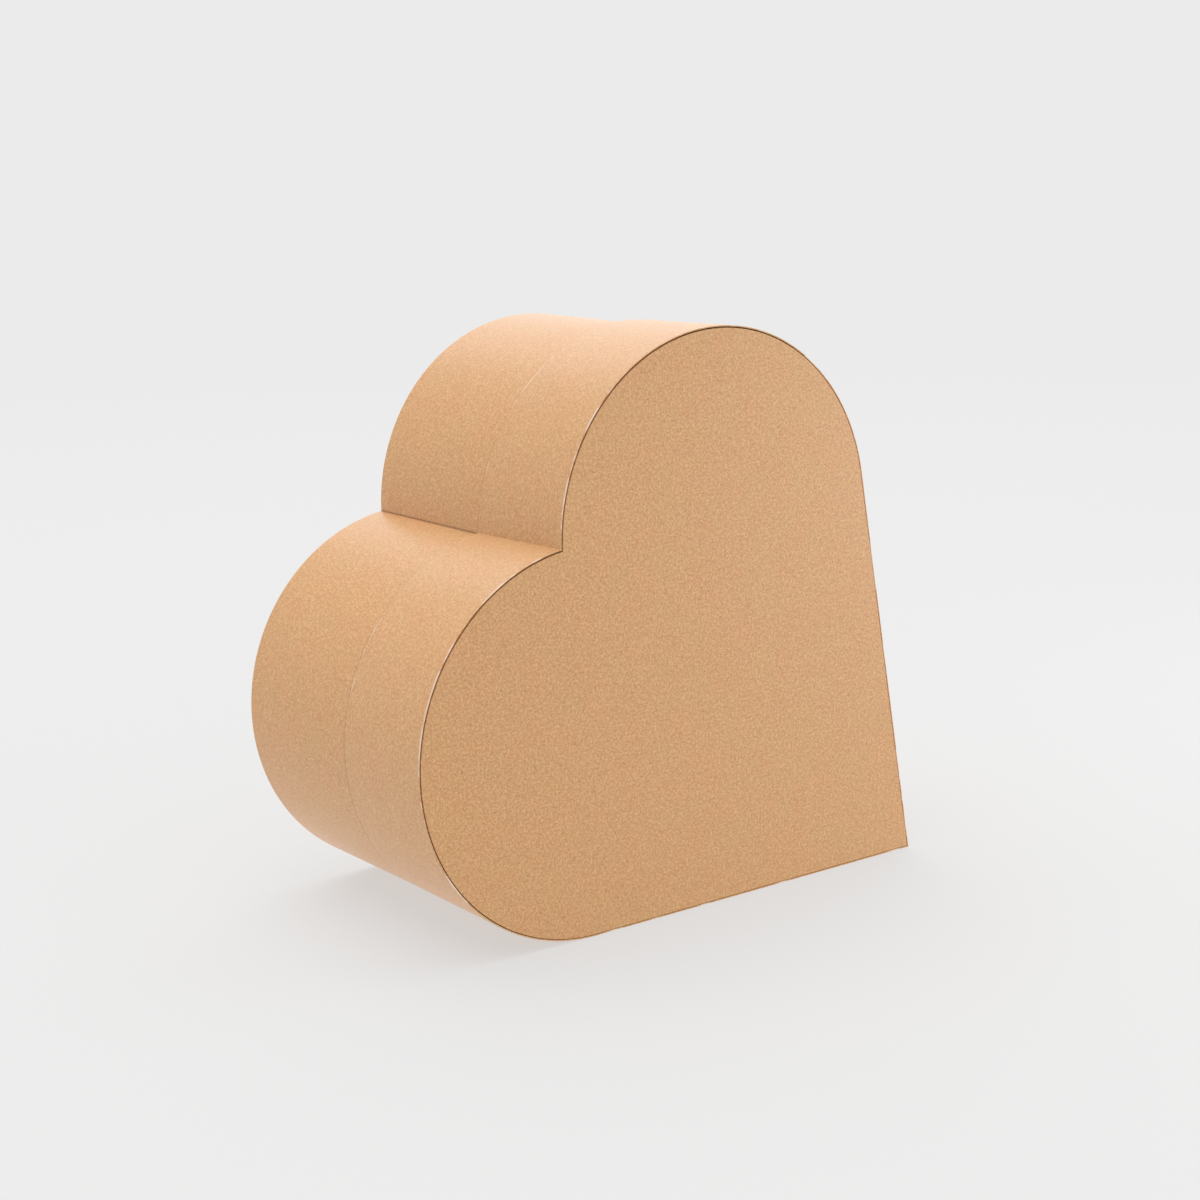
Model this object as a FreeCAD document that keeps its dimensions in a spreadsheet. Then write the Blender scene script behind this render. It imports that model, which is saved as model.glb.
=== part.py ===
"""Heart-shaped card box with a wind-up musical movement behind its back panel.

The box stands on one straight side of the heart.  Row frame: X to the right along that side, Y from the
front to the back, Z up, origin in the middle of the side that it stands on, halfway through the depth.

The movement is laid out as it lies on a bench: x along the pin cylinder, y across it, z up from the
underside of the bedplate, origin on the winding arbor.  place() turns that bench layout into the row.
"""
import FreeCAD, Part
import math
import os

import Sketcher
from FreeCAD import Rotation, Vector

DIMENSIONS = [
    # the case
    ("side_length", 100, "straight side of the heart, tip to the start of the lobe"),
    ("point_angle", 80, "angle between the two straight sides, degrees"),
    ("lobe_radius", 45.3, "lobe at the front and back faces"),
    ("lobe_sweep", 100, "part of the lobe's arc before the flank, degrees"),
    ("waist_lobe_radius", 44.2, "lobe where lid and base meet, drawn in"),
    ("waist_flank_radius", 47, "flatter flank beside the notch where lid and base meet"),
    ("case_depth", 75.7, "front face to back face"),
    ("lid_depth", 33, "front face to the lid's edge"),
    ("card", 0.8, "thickness of the card walls"),
    ("panel", 1.5, "thickness of the front and back panels"),
    ("panel_gap", 0.1, "between a panel's edge and the wall around it"),
    ("seam_gap", 0.2, "between the lid's edge and the base's edge"),
    ("seam_step", 0.35, "base lobes smaller than the lid's where they meet"),
    ("neck_side_inset", 1.1, "neck's outside in from the straight sides"),
    ("neck_lobe_inset", 1.45, "neck's outside in from the lobes"),
    ("neck_in_lid", 10, "length of neck inside the lid"),
    ("neck_in_base", 8, "length of neck inside the base"),
    # where the movement sits in the case
    ("arbor_x", -32, "winding arbor, across the case"),
    ("arbor_z", 62, "winding arbor, above the standing side"),
    ("board", 3, "thickness of the mounting board"),
    ("board_margin", 3, "board beyond the bedplate on each side"),
    ("key_hole", 4.5, "radius of the key hole through panel and board"),
    ("eyelet_wall", 0.5, "eyelet that lines the key hole"),
    ("eyelet_flange", 2.2, "flange beyond the key hole"),
    ("eyelet_thick", 0.4, "thickness of the flange"),
    # bedplate and its screws
    ("bed_left", -13, "bedplate edges, from the winding arbor"),
    ("bed_right", 40, ""),
    ("bed_front", -28, ""),
    ("bed_back", 22, ""),
    ("bed_thick", 2, ""),
    ("bed_corner", 3, "corner radius"),
    ("boss_radius", 3, "bosses that take the fixing screws"),
    ("boss_top", 5.5, ""),
    ("screw_inset", 4, "fixing screws in from the bedplate's edges"),
    ("screw_right_rise", 14, "right-hand fixing screw up from the front edge"),
    ("screw_radius", 1.3, "movement fixing screws"),
    ("screw_head_radius", 2.6, ""),
    ("screw_head", 1.6, "height of the head"),
    ("washer_radius", 4, ""),
    ("washer_thick", 0.6, ""),
    ("small_screw", 1, "shank radius of the small screws"),
    ("small_head", 1.9, "head radius of the small screws"),
    ("small_head_high", 1.1, ""),
    ("wide_slot", 0.7, "screwdriver slot of the fixing screws, width and depth"),
    ("narrow_slot", 0.5, "screwdriver slot of the small screws, width and depth"),
    ("fit_gap", 0.05, "running clearance on a radius"),
    # winding arbor and spring barrel
    ("arbor_radius", 2, ""),
    ("arbor_thread", 1.5, "threaded end that takes the key"),
    ("arbor_pivot", 1.2, "upper pivot"),
    ("arbor_core", 2.8, "core that the mainspring winds on"),
    ("arbor_collar", 3.2, "collar under the barrel"),
    ("arbor_low", -13, "lower end, past the back panel"),
    ("arbor_top", 15.6, ""),
    ("barrel_radius", 10.8, ""),
    ("barrel_low", 4.6, ""),
    ("barrel_high", 12.2, "floor between the crown teeth"),
    ("barrel_wall", 0.8, ""),
    ("crown_teeth", 36, ""),
    ("crown_radius", 9.6, "pitch radius of the crown teeth"),
    ("crown_width", 2, "radial length of a crown tooth"),
    ("crown_height", 1, "height of a crown tooth"),
    ("crown_thick", 0.56, "thickness of a crown tooth"),
    ("spring_thick", 0.25, "mainspring strip"),
    ("spring_pitch", 0.8, "spacing of its turns"),
    ("spring_turns", 7, ""),
    ("spring_low", 5.9, ""),
    ("spring_width", 5, ""),
    ("clutch_wire", 0.22, "wire radius of the one-way clutch spring"),
    ("clutch_pitch", 0.5, ""),
    ("clutch_turns", 3, ""),
    ("clutch_low", 2.25, ""),
    ("bridge_gap", 2.5, "bridge's legs clear of the barrel"),
    ("bridge_rise", 2.8, "bridge's top above the barrel"),
    ("strap_width", 8, "bridge, along the cylinder"),
    ("foot_length", 4, "feet of the bridge"),
    ("ear_half", 3, "half width of the bridge's ear, and its reach above the axle"),
    # cylinder line
    ("axis_height", 16, "cylinder axis above the bedplate's underside"),
    ("drum_left", 13.5, ""),
    ("drum_right", 33.5, ""),
    ("drum_radius", 6.2, ""),
    ("drum_wall", 0.7, ""),
    ("cap_thick", 1.2, "plastic end caps of the drum"),
    ("cap_inset", 0.3, "caps inside the drum's ends"),
    ("bar_steps", 40, "moments round the drum where pins stand"),
    ("pin_radius", 0.2, ""),
    ("pin_out", 0.5, "pins stand this far out of the drum"),
    ("pin_in", 0.4, "pins reach this far into the drum"),
    ("axle_radius", 1.2, "cylinder axle"),
    ("axle_pivot", 0.8, "pivots at its ends"),
    ("axle_left", 3.6, ""),
    ("axle_right", 39.3, ""),
    ("pivot_length", 2.2, ""),
    ("bracket_inset", 2.5, "end bracket in from the bedplate's right edge"),
    ("bracket_foot", 5, "length of its foot"),
    ("bracket_half", 4, "half width of its foot"),
    ("bearing_margin", 3, "sheet round a bearing of the governor wheel"),
    ("pinion_teeth", 12, "drive pinion on the cylinder axle"),
    ("pinion_width", 1.6, ""),
    ("gear_teeth", 42, "cylinder gear"),
    ("gear_left", 34.5, ""),
    ("gear_width", 1.8, ""),
    # comb
    ("notes", 18, "teeth of the comb and tracks on the drum"),
    ("note_pitch", 1.05, ""),
    ("comb_gap", 0.15, "between pin tips and comb tips"),
    ("comb_top", 16.4, ""),
    ("comb_thick", 1, ""),
    ("comb_slot", 0.25, "gap between comb teeth"),
    ("comb_short", 9, "length of the shortest tooth"),
    ("comb_step", 0.25, "each tooth is longer by this"),
    ("comb_back", -27, "rear edge of comb and comb base"),
    ("comb_base_front", -21, "front of the riser under the comb"),
    ("comb_margin", 0.6, "comb beyond its outer teeth"),
    ("comb_screw_x", 5.5, "comb screws from the middle of the comb"),
    ("comb_screw_y", 3.6, "comb screws in from its rear edge"),
    ("comb_screw_bite", 5, "thread in the riser"),
    ("weights", 8, "tuned teeth that carry a weight"),
    ("first_weight", 10, "teeth to the left of the first weight"),
    ("weight_gap", 0.35, "weights narrower than the note pitch"),
    ("weight_back", 1, "weights behind the tips of the teeth"),
    ("weight_length", 1.6, "first weight; each is longer by the step"),
    ("weight_length_step", 0.35, ""),
    ("weight_height", 1, "first weight; each is higher by the step"),
    ("weight_height_step", 0.25, ""),
    # governor
    ("governor_y", 10, "governor wheel axis, across"),
    ("governor_z", 11.921, "governor wheel axis, height"),
    ("wheel_module", 0.4, "module of the governor train"),
    ("governor_pinion_teeth", 12, ""),
    ("worm_wheel_teeth", 16, ""),
    ("worm_wheel_left", 29.9, ""),
    ("worm_wheel_width", 1.2, ""),
    ("worm_y", 14.4, "worm shaft, across"),
    ("worm_x", 30.5, "worm shaft, along"),
    ("worm_root", 0.75, ""),
    ("worm_outer", 1.5, ""),
    ("worm_low", 8.6, "lowest turn of the thread"),
    ("worm_turns", 5, ""),
    ("worm_thick", 0.34, "thread thickness at its middle"),
    ("shaft_radius", 0.5, "worm shaft"),
    ("hub_radius", 1.4, "hub of the fan"),
    ("fan_radius", 4.2, ""),
    ("fan_low", 17, ""),
    ("fan_high", 20.2, ""),
    ("fan_blade", 0.4, ""),
    ("frame_thick", 1.2, "sheet of the governor frame, bridge and bracket"),
    ("frame_top", 22.4, "top of the governor frame"),
    ("frame_back", 21, "rear of the governor frame"),
    ("frame_left", 27.2, "channel of the governor frame"),
    ("frame_width", 6.6, ""),
    ("frame_front", 2, "top of the channel in front of the worm shaft"),
    ("cheek_left", 26.4, "cheek that carries the governor wheel's left pivot"),
    ("frame_screw_y", 3.2, "frame screw behind the worm shaft"),
    ("frame_foot_y", 1.2, "front of its foot behind the worm shaft"),
    # key
    ("key_radius", 3.2, "shank of the key"),
    ("key_gap", 1, "between the back panel and the shank"),
    ("key_shank", 9, "length of the shank"),
    ("wing_reach", 12, "centre of the key to the end of a wing"),
    ("wing_height", 13, ""),
    ("wing_thick", 1.8, ""),
    ("wing_dip", 3, "dip between the wings"),
    ("wing_seat", 1.5, "depth of the wings' seat in the shank"),
    ("wing_corner", 4.5, "rounding of the wings"),
    ("wing_hole", 2.6, "radius of the hole in each wing"),
]

doc = FreeCAD.newDocument("heart_music_box")
sheet = doc.addObject("Spreadsheet::Sheet", "dims")
for row, (alias, number, note) in enumerate(DIMENSIONS, start=1):
    sheet.set(f"A{row}", alias)
    sheet.set(f"B{row}", str(number))
    sheet.set(f"C{row}", note)
    sheet.setAlias(f"B{row}", alias)
doc.recompute()

SUB_PARTS = []
FRONT_Y = "-dims.case_depth / 2"
SEAM_Y = "(dims.lid_depth - dims.case_depth / 2)"
BACK_Y = "dims.case_depth / 2"
BED_Y = "(dims.case_depth / 2 - dims.panel - dims.board)"
TIP_X = "dims.side_length / 2"
UPRIGHT = Rotation(Vector(1, 0, 0), 90)
ALONG_X = Rotation(Vector(0, 1, 0), 90)


# ---------------------------------------------------------------- helpers
def number(expression):
    """Value of an expression on the sheet, as a plain number."""
    return float(sheet.evalExpression(str(expression)))


def degrees(expression):
    return f"({expression}) * 1 deg"


def keep(thing, label):
    """Registers a finished sub-part: its Label is the node's name."""
    thing.Label = label
    SUB_PARTS.append(thing)
    return thing


def bind(thing, **properties):
    for name, expression in properties.items():
        thing.setExpression(name, str(expression))
    return thing


def place(thing, x=0, y=0, z=0, turn=UPRIGHT, phase=0.0):
    """Puts a piece laid out on the bench at x, y, z into the row; phase turns it about its own axis."""
    thing.Placement = FreeCAD.Placement(
        Vector(), turn.multiply(Rotation(Vector(0, 0, 1), phase)))
    bases = (f"dims.arbor_x + ({x})", f"{BED_Y} - ({z})", f"dims.arbor_z + ({y})")
    for axis, expression in zip("xyz", bases):
        thing.setExpression(f"Placement.Base.{axis}", expression)
    return thing


def new_body(label):
    return keep(doc.addObject("PartDesign::Body", label), label)


def origin_feature(body, role):
    return next(f for f in body.Origin.OriginFeatures if f.Role == role)


def new_sketch(body, name, plane="XY_Plane", height="0"):
    """A sketch on one of the body's own planes, lifted along the plane's normal."""
    sketch = body.newObject("Sketcher::SketchObject", name)
    sketch.AttachmentSupport = (origin_feature(body, plane), [""])
    sketch.MapMode = "FlatFace"
    sketch.setExpression("AttachmentOffset.Base.z", height)
    return sketch


def pin_point(sketch, tag, edge, end, x, y):
    """Holds one end of an edge at x, y; both are expressions."""
    for axis, line, kind, expression in (("x", -2, "DistanceX", x), ("y", -1, "DistanceY", y)):
        offset = number(expression)
        if abs(offset) < 1e-9:
            sketch.addConstraint(Sketcher.Constraint("PointOnObject", edge, end, line))
            continue
        index = sketch.addConstraint(Sketcher.Constraint(kind, -1, 1, edge, end, offset))
        sketch.renameConstraint(index, f"{tag}_{axis}")
        sketch.setExpression(f"Constraints.{tag}_{axis}", str(expression))


def polygon(sketch, points, tag="p"):
    """Closed outline through points given as pairs of expressions."""
    places = [Vector(number(x), number(y), 0) for x, y in points]
    first = None
    for start, end in zip(places, places[1:] + places[:1]):
        index = sketch.addGeometry(Part.LineSegment(start, end), False)
        first = index if first is None else first
    count = len(points)
    for i, (x, y) in enumerate(points):
        before = first + (i - 1) % count
        sketch.addConstraint(Sketcher.Constraint("Coincident", before, 2, first + i, 1))
        pin_point(sketch, f"{tag}{i}", first + i, 1, x, y)


def rectangle(sketch, left, right, low, high, tag="r"):
    polygon(sketch, [(left, low), (right, low), (right, high), (left, high)], tag)


def circle(sketch, x, y, radius, tag="c"):
    shape = Part.Circle(Vector(number(x), number(y), 0), Vector(0, 0, 1), number(radius))
    index = sketch.addGeometry(shape, False)
    pin_point(sketch, tag, index, 3, x, y)
    rule = sketch.addConstraint(Sketcher.Constraint("Radius", index, number(radius)))
    sketch.renameConstraint(rule, f"{tag}_radius")
    sketch.setExpression(f"Constraints.{tag}_radius", str(radius))


def pad(body, sketch, length, name="pad"):
    feature = body.newObject("PartDesign::Pad", name)
    feature.Profile = sketch
    bind(feature, Length=length)
    return feature


def cut_through(body, sketch, name="holes"):
    """Pocket through the whole body, both ways from the sketch."""
    feature = body.newObject("PartDesign::Pocket", name)
    feature.Profile = sketch
    feature.Type = "ThroughAll"
    feature.Midplane = True
    return feature


def turned(body, outline, name="turned"):
    """Revolves an outline of (radius, height) pairs about the body's Z axis."""
    sketch = new_sketch(body, f"{name}_outline", "XZ_Plane")
    polygon(sketch, outline)
    feature = body.newObject("PartDesign::Revolution", name)
    feature.Profile = sketch
    feature.ReferenceAxis = (origin_feature(body, "Z_Axis"), [""])
    feature.Angle = 360
    return feature


def around(body, feature, count):
    """Repeats a feature evenly about the body's Z axis."""
    pattern = body.newObject("PartDesign::PolarPattern", "around")
    pattern.Originals = [feature]
    pattern.Axis = (origin_feature(body, "Z_Axis"), [""])
    pattern.Angle = 360
    bind(pattern, Occurrences=count)
    body.Tip = pattern
    return pattern


def group(label, members):
    """Several separate solids under one name."""
    compound = doc.addObject("Part::Compound", label)
    compound.Links = members
    return keep(compound, label)


def rod(name, radius, length, x=0, y=0, z=0, turn=UPRIGHT):
    shape = doc.addObject("Part::Cylinder", name)
    bind(shape, Radius=radius, Height=length)
    return place(shape, x, y, z, turn)


def joined(kind, name, base, tool):
    result = doc.addObject(f"Part::{kind}", name)
    result.Base = base
    result.Tool = tool
    return result


# ---------------------------------------------------------------- the heart outline
def heart_outline(sketch, tag, inset, lobe, flank):
    """One closed heart: two straight sides, and on each lobe an arc and then the flank to the notch.

    inset is how far the straight sides stand in from the outside, lobe and flank are the arcs' radii.
    """
    half = math.radians(number("dims.point_angle") / 2)
    sweep = math.radians(number("dims.lobe_sweep"))
    tip_x, depth, side = number(TIP_X), number(inset), number("dims.side_length")
    lobe_r, flank_r = number(lobe), number(flank)

    def mirrored(point):
        """The same point on the other side of the heart's own axis."""
        axis = Vector(-math.cos(half), math.sin(half), 0)
        arm = point - Vector(tip_x, 0, 0)
        return Vector(tip_x, 0, 0) + axis * (2 * arm.dot(axis)) - arm

    tip = Vector(tip_x - depth / math.tan(half), depth, 0)
    foot = Vector(tip_x - side, depth, 0)
    lobe_centre = foot + Vector(0, lobe_r, 0)
    shoulder_arm = Vector(-math.sin(sweep), -math.cos(sweep), 0)
    shoulder = lobe_centre + shoulder_arm * lobe_r
    flank_centre = shoulder - shoulder_arm * flank_r
    axis = Vector(-math.cos(half), math.sin(half), 0)
    arm = flank_centre - Vector(tip_x, 0, 0)
    reach = arm.dot(axis)
    beside = (arm - axis * reach).Length
    notch = Vector(tip_x, 0, 0) + axis * (reach + math.sqrt(flank_r ** 2 - beside ** 2))

    def arc(centre, start, end):
        begin = math.atan2(start.y - centre.y, start.x - centre.x)
        finish = math.atan2(end.y - centre.y, end.x - centre.x)
        if finish < begin:
            finish += 2 * math.pi
        round_ = Part.Circle(centre, Vector(0, 0, 1), (start - centre).Length)
        return Part.ArcOfCircle(round_, begin, finish)

    base = sketch.addGeometry(Part.LineSegment(tip, foot), False)
    low_lobe = sketch.addGeometry(arc(lobe_centre, shoulder, foot), False)
    low_flank = sketch.addGeometry(arc(flank_centre, notch, shoulder), False)
    high_flank = sketch.addGeometry(arc(mirrored(flank_centre), mirrored(shoulder), notch), False)
    high_lobe = sketch.addGeometry(
        arc(mirrored(lobe_centre), mirrored(foot), mirrored(shoulder)), False)
    side_line = sketch.addGeometry(Part.LineSegment(mirrored(foot), tip), False)

    rules = Sketcher.Constraint
    sketch.addConstraint(rules("Tangent", base, 2, low_lobe, 2))
    sketch.addConstraint(rules("Tangent", low_lobe, 1, low_flank, 2))
    sketch.addConstraint(rules("Coincident", low_flank, 1, high_flank, 2))
    sketch.addConstraint(rules("Tangent", high_flank, 1, high_lobe, 2))
    sketch.addConstraint(rules("Tangent", high_lobe, 1, side_line, 1))
    sketch.addConstraint(rules("Coincident", side_line, 2, base, 1))
    sketch.addConstraint(rules("Horizontal", base))
    sketch.addConstraint(rules("Equal", base, side_line))
    sketch.addConstraint(rules("Equal", low_lobe, high_lobe))
    sketch.addConstraint(rules("Equal", low_flank, high_flank))
    pin_point(sketch, f"{tag}_tip", base, 1,
              f"{TIP_X} - ({inset}) / tan(dims.point_angle * 0.5 deg)", inset)
    bound = [
        ("foot", ("DistanceX", -1, 1, base, 2, foot.x), f"{TIP_X} - dims.side_length"),
        ("slope", ("Angle", side_line, -2 * half), degrees("-dims.point_angle")),
        ("lobe", ("Radius", low_lobe, lobe_r), lobe),
        ("flank", ("Radius", low_flank, flank_r), flank),
        ("sweep_low", ("Angle", low_lobe, sweep), degrees("dims.lobe_sweep")),
        ("sweep_high", ("Angle", high_lobe, sweep), degrees("dims.lobe_sweep")),
    ]
    for name, arguments, expression in bound:
        index = sketch.addConstraint(rules(*arguments))
        sketch.renameConstraint(index, f"{tag}_{name}")
        sketch.setExpression(f"Constraints.{tag}_{name}", str(expression))


def heart_band(body, name, y, inset, lobe, flank):
    """A ring of card seen end on, at depth y: the outside and the inside of the wall."""
    sketch = new_sketch(body, name, "XZ_Plane", f"-({y})")
    heart_outline(sketch, "outer", inset, lobe, flank)
    heart_outline(sketch, "inner", f"{inset} + dims.card", f"{lobe} - dims.card",
                  f"{flank} - dims.card")
    return sketch


def heart_wall(label, first, last):
    """Card wall ruled between two rings; each is (name, y, inset, lobe, flank)."""
    body = new_body(label)
    rings = [heart_band(body, *ring) for ring in (first, last)]
    wall = body.newObject("PartDesign::AdditiveLoft", "wall")
    wall.Profile = rings[0]
    wall.Sections = [rings[1]]
    wall.Ruled = True
    return body


def heart_panel(label, front_y):
    """Flat heart board that fills a wall's end."""
    body = new_body(label)
    sketch = new_sketch(body, "outline", "XZ_Plane", f"-({front_y} + dims.panel)")
    inset = "dims.card + dims.panel_gap"
    lobe = f"dims.lobe_radius - ({inset})"
    heart_outline(sketch, "edge", inset, lobe, lobe)
    pad(body, sketch, "dims.panel", "board")
    return body


# ---------------------------------------------------------------- case
FACE_LOBE = "dims.lobe_radius"
BASE_WAIST_LOBE = "dims.waist_lobe_radius - dims.seam_step"
BASE_WAIST_FLANK = "dims.waist_flank_radius - dims.seam_step"

heart_wall("lid_wall",
           ("face_ring", FRONT_Y, "0", FACE_LOBE, FACE_LOBE),
           ("edge_ring", SEAM_Y, "0", "dims.waist_lobe_radius", "dims.waist_flank_radius"))
heart_wall("base_wall",
           ("edge_ring", f"{SEAM_Y} + dims.seam_gap", "0", BASE_WAIST_LOBE, BASE_WAIST_FLANK),
           ("back_ring", BACK_Y, "0", FACE_LOBE, FACE_LOBE))
heart_panel("lid_panel", FRONT_Y)

neck = new_body("base_neck")
neck_ring = heart_band(neck, "neck_ring", f"{SEAM_Y} + dims.neck_in_base", "dims.neck_side_inset",
                       "dims.waist_lobe_radius - dims.neck_lobe_inset",
                       "dims.waist_flank_radius - dims.neck_lobe_inset")
pad(neck, neck_ring, "dims.neck_in_lid + dims.neck_in_base", "collar")

SCREW_PLACES = [
    ("dims.bed_left + dims.screw_inset", "dims.bed_back - dims.screw_inset"),
    ("dims.bed_left + dims.screw_inset", "dims.bed_front + dims.screw_inset"),
    ("dims.bed_right - dims.screw_inset", "dims.bed_front + dims.screw_right_rise"),
]


def fixing_holes(sketch, radius):
    for i, (x, y) in enumerate(SCREW_PLACES):
        circle(sketch, x, y, radius, f"screw{i}")


back_panel = heart_panel("base_panel", "dims.case_depth / 2 - dims.panel")
panel_holes = new_sketch(back_panel, "panel_holes", "XZ_Plane", f"-({BACK_Y})")
circle(panel_holes, "dims.arbor_x", "dims.arbor_z", "dims.key_hole", "key")
for i, (x, y) in enumerate(SCREW_PLACES):
    circle(panel_holes, f"dims.arbor_x + {x}", f"dims.arbor_z + {y}",
           "dims.screw_radius + dims.fit_gap", f"screw{i}")
cut_through(back_panel, panel_holes)

board = place(new_body("mounting_board"), z="-dims.board")
board_outline = new_sketch(board, "outline")
rectangle(board_outline, "dims.bed_left - dims.board_margin", "dims.bed_right + dims.board_margin",
          "dims.bed_front - dims.board_margin", "dims.bed_back + dims.board_margin")
pad(board, board_outline, "dims.board", "block")
board_holes = new_sketch(board, "board_holes")
circle(board_holes, "0", "0", "dims.key_hole", "key")
fixing_holes(board_holes, "dims.screw_radius + dims.fit_gap")
cut_through(board, board_holes)

# eyelet that lines the key hole: a tube with a flange outside
eyelet = place(new_body("key_eyelet"), z="-dims.board - dims.panel")
turned(eyelet, [
    ("dims.key_hole - dims.fit_gap - dims.eyelet_wall", "-dims.eyelet_thick"),
    ("dims.key_hole + dims.eyelet_flange", "-dims.eyelet_thick"),
    ("dims.key_hole + dims.eyelet_flange", "0"),
    ("dims.key_hole - dims.fit_gap", "0"),
    ("dims.key_hole - dims.fit_gap", "dims.board + dims.panel"),
    ("dims.key_hole - dims.fit_gap - dims.eyelet_wall", "dims.board + dims.panel"),
])

# fixing screws from behind, with slotted cheese heads, and a washer under each head
screws = []
washers = []
PANEL_BACK = "-dims.board - dims.panel"
for i, (x, y) in enumerate(SCREW_PLACES):
    shank = rod(f"fixing_shank{i}", "dims.screw_radius",
                "dims.board + dims.panel + dims.washer_thick + dims.boss_top - 0.5",
                x, y, f"{PANEL_BACK} - dims.washer_thick")
    head = rod(f"fixing_head{i}", "dims.screw_head_radius", "dims.screw_head",
               x, y, f"{PANEL_BACK} - dims.washer_thick - dims.screw_head")
    slot = doc.addObject("Part::Box", f"fixing_slot{i}")
    bind(slot, Length="2 * dims.screw_head_radius", Width="dims.wide_slot",
         Height="dims.wide_slot")
    place(slot, f"{x} - dims.screw_head_radius", f"{y} - dims.wide_slot / 2",
          f"{PANEL_BACK} - dims.washer_thick - dims.screw_head")
    screws.append(joined("Cut", f"fixing_screw{i}",
                         joined("Fuse", f"fixing_blank{i}", shank, head), slot))
    disc = rod(f"washer_disc{i}", "dims.washer_radius", "dims.washer_thick",
               x, y, f"{PANEL_BACK} - dims.washer_thick")
    hole = rod(f"washer_hole{i}", "dims.screw_radius + dims.fit_gap", "dims.washer_thick",
               x, y, f"{PANEL_BACK} - dims.washer_thick")
    washers.append(joined("Cut", f"washer{i}", disc, hole))
group("fixing_screws", screws)
group("fixing_washers", washers)

# ---------------------------------------------------------------- bedplate
BRIDGE_HALF = "(dims.barrel_radius + dims.bridge_gap)"
BRIDGE_SCREW_Y = f"({BRIDGE_HALF} + dims.foot_length / 2)"
FRAME_SCREW_Y = "(dims.worm_y + dims.frame_screw_y)"
BRACKET_SCREW_X = "(dims.bed_right - dims.bracket_inset - dims.bracket_foot / 2)"
SMALL_SCREW_PLACES = {
    "bridge_near": ("0", f"-{BRIDGE_SCREW_Y}"),
    "bridge_far": ("0", BRIDGE_SCREW_Y),
    "frame": ("dims.worm_x", FRAME_SCREW_Y),
    "bracket": (BRACKET_SCREW_X, "0"),
}

bedplate = place(new_body("bedplate"))
bed_outline = new_sketch(bedplate, "outline")
rectangle(bed_outline, "dims.bed_left", "dims.bed_right", "dims.bed_front", "dims.bed_back")
pad(bedplate, bed_outline, "dims.bed_thick", "slab")
boss_circles = new_sketch(bedplate, "boss_circles")
fixing_holes(boss_circles, "dims.boss_radius")
pad(bedplate, boss_circles, "dims.boss_top", "bosses")
bed_holes = new_sketch(bedplate, "bed_holes")
circle(bed_holes, "0", "0", "dims.arbor_radius + dims.fit_gap", "arbor")
circle(bed_holes, "dims.worm_x", "dims.worm_y", "dims.shaft_radius + dims.fit_gap", "worm")
fixing_holes(bed_holes, "dims.screw_radius")
for tag, (x, y) in SMALL_SCREW_PLACES.items():
    circle(bed_holes, x, y, "dims.small_screw", tag)
cut_through(bedplate, bed_holes)

# ---------------------------------------------------------------- winding arbor, barrel, springs
arbor = place(new_body("winding_arbor"))
turned(arbor, [
    ("0", "dims.arbor_low"),
    ("dims.arbor_thread", "dims.arbor_low"),
    ("dims.arbor_thread", "-dims.board - dims.panel"),
    ("dims.arbor_radius", "-dims.board - dims.panel"),
    ("dims.arbor_radius", "dims.barrel_low - 0.6"),
    ("dims.arbor_collar", "dims.barrel_low - 0.6"),
    ("dims.arbor_collar", "dims.barrel_low - 0.1"),
    ("dims.arbor_radius", "dims.barrel_low - 0.1"),
    ("dims.arbor_radius", "dims.spring_low"),
    ("dims.arbor_core", "dims.spring_low"),
    ("dims.arbor_core", "dims.spring_low + dims.spring_width"),
    ("dims.arbor_radius", "dims.spring_low + dims.spring_width"),
    ("dims.arbor_radius", "dims.barrel_high + 1.3"),
    ("dims.arbor_pivot", "dims.barrel_high + 1.3"),
    ("dims.arbor_pivot", "dims.arbor_top"),
    ("0", "dims.arbor_top"),
])

clutch = place(new_body("clutch_spring"))
wire = new_sketch(clutch, "wire", "XZ_Plane")
circle(wire, "dims.arbor_radius + dims.fit_gap + dims.clutch_wire",
       "dims.clutch_low", "dims.clutch_wire", "wire")
coil = clutch.newObject("PartDesign::AdditiveHelix", "coil")
coil.Profile = wire
coil.ReferenceAxis = (origin_feature(clutch, "Z_Axis"), [""])
coil.Mode = "pitch-turns-angle"
bind(coil, Pitch="dims.clutch_pitch", Turns="dims.clutch_turns")

barrel = place(new_body("spring_barrel"), phase=180 / number("dims.crown_teeth"))
turned(barrel, [
    ("dims.arbor_radius + dims.fit_gap", "dims.barrel_high - dims.barrel_wall"),
    ("dims.barrel_radius - dims.barrel_wall", "dims.barrel_high - dims.barrel_wall"),
    ("dims.barrel_radius - dims.barrel_wall", "dims.barrel_low"),
    ("dims.barrel_radius", "dims.barrel_low"),
    ("dims.barrel_radius", "dims.barrel_high"),
    ("dims.arbor_radius + dims.fit_gap", "dims.barrel_high"),
], "cup")
crown = new_sketch(barrel, "crown_tooth", "XY_Plane", "dims.barrel_high - 0.1")
rectangle(crown, "dims.crown_radius - dims.crown_width / 2",
          "dims.crown_radius + dims.crown_width / 2",
          "-dims.crown_thick / 2", "dims.crown_thick / 2")
around(barrel, pad(barrel, crown, "dims.crown_height + 0.1", "tooth"), "dims.crown_teeth")

cover = place(new_body("barrel_cover"))
turned(cover, [
    ("dims.arbor_radius + dims.fit_gap", "dims.barrel_low"),
    ("dims.barrel_radius - dims.barrel_wall", "dims.barrel_low"),
    ("dims.barrel_radius - dims.barrel_wall", "dims.barrel_low + 0.8"),
    ("dims.arbor_radius + dims.fit_gap", "dims.barrel_low + 0.8"),
])


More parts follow.
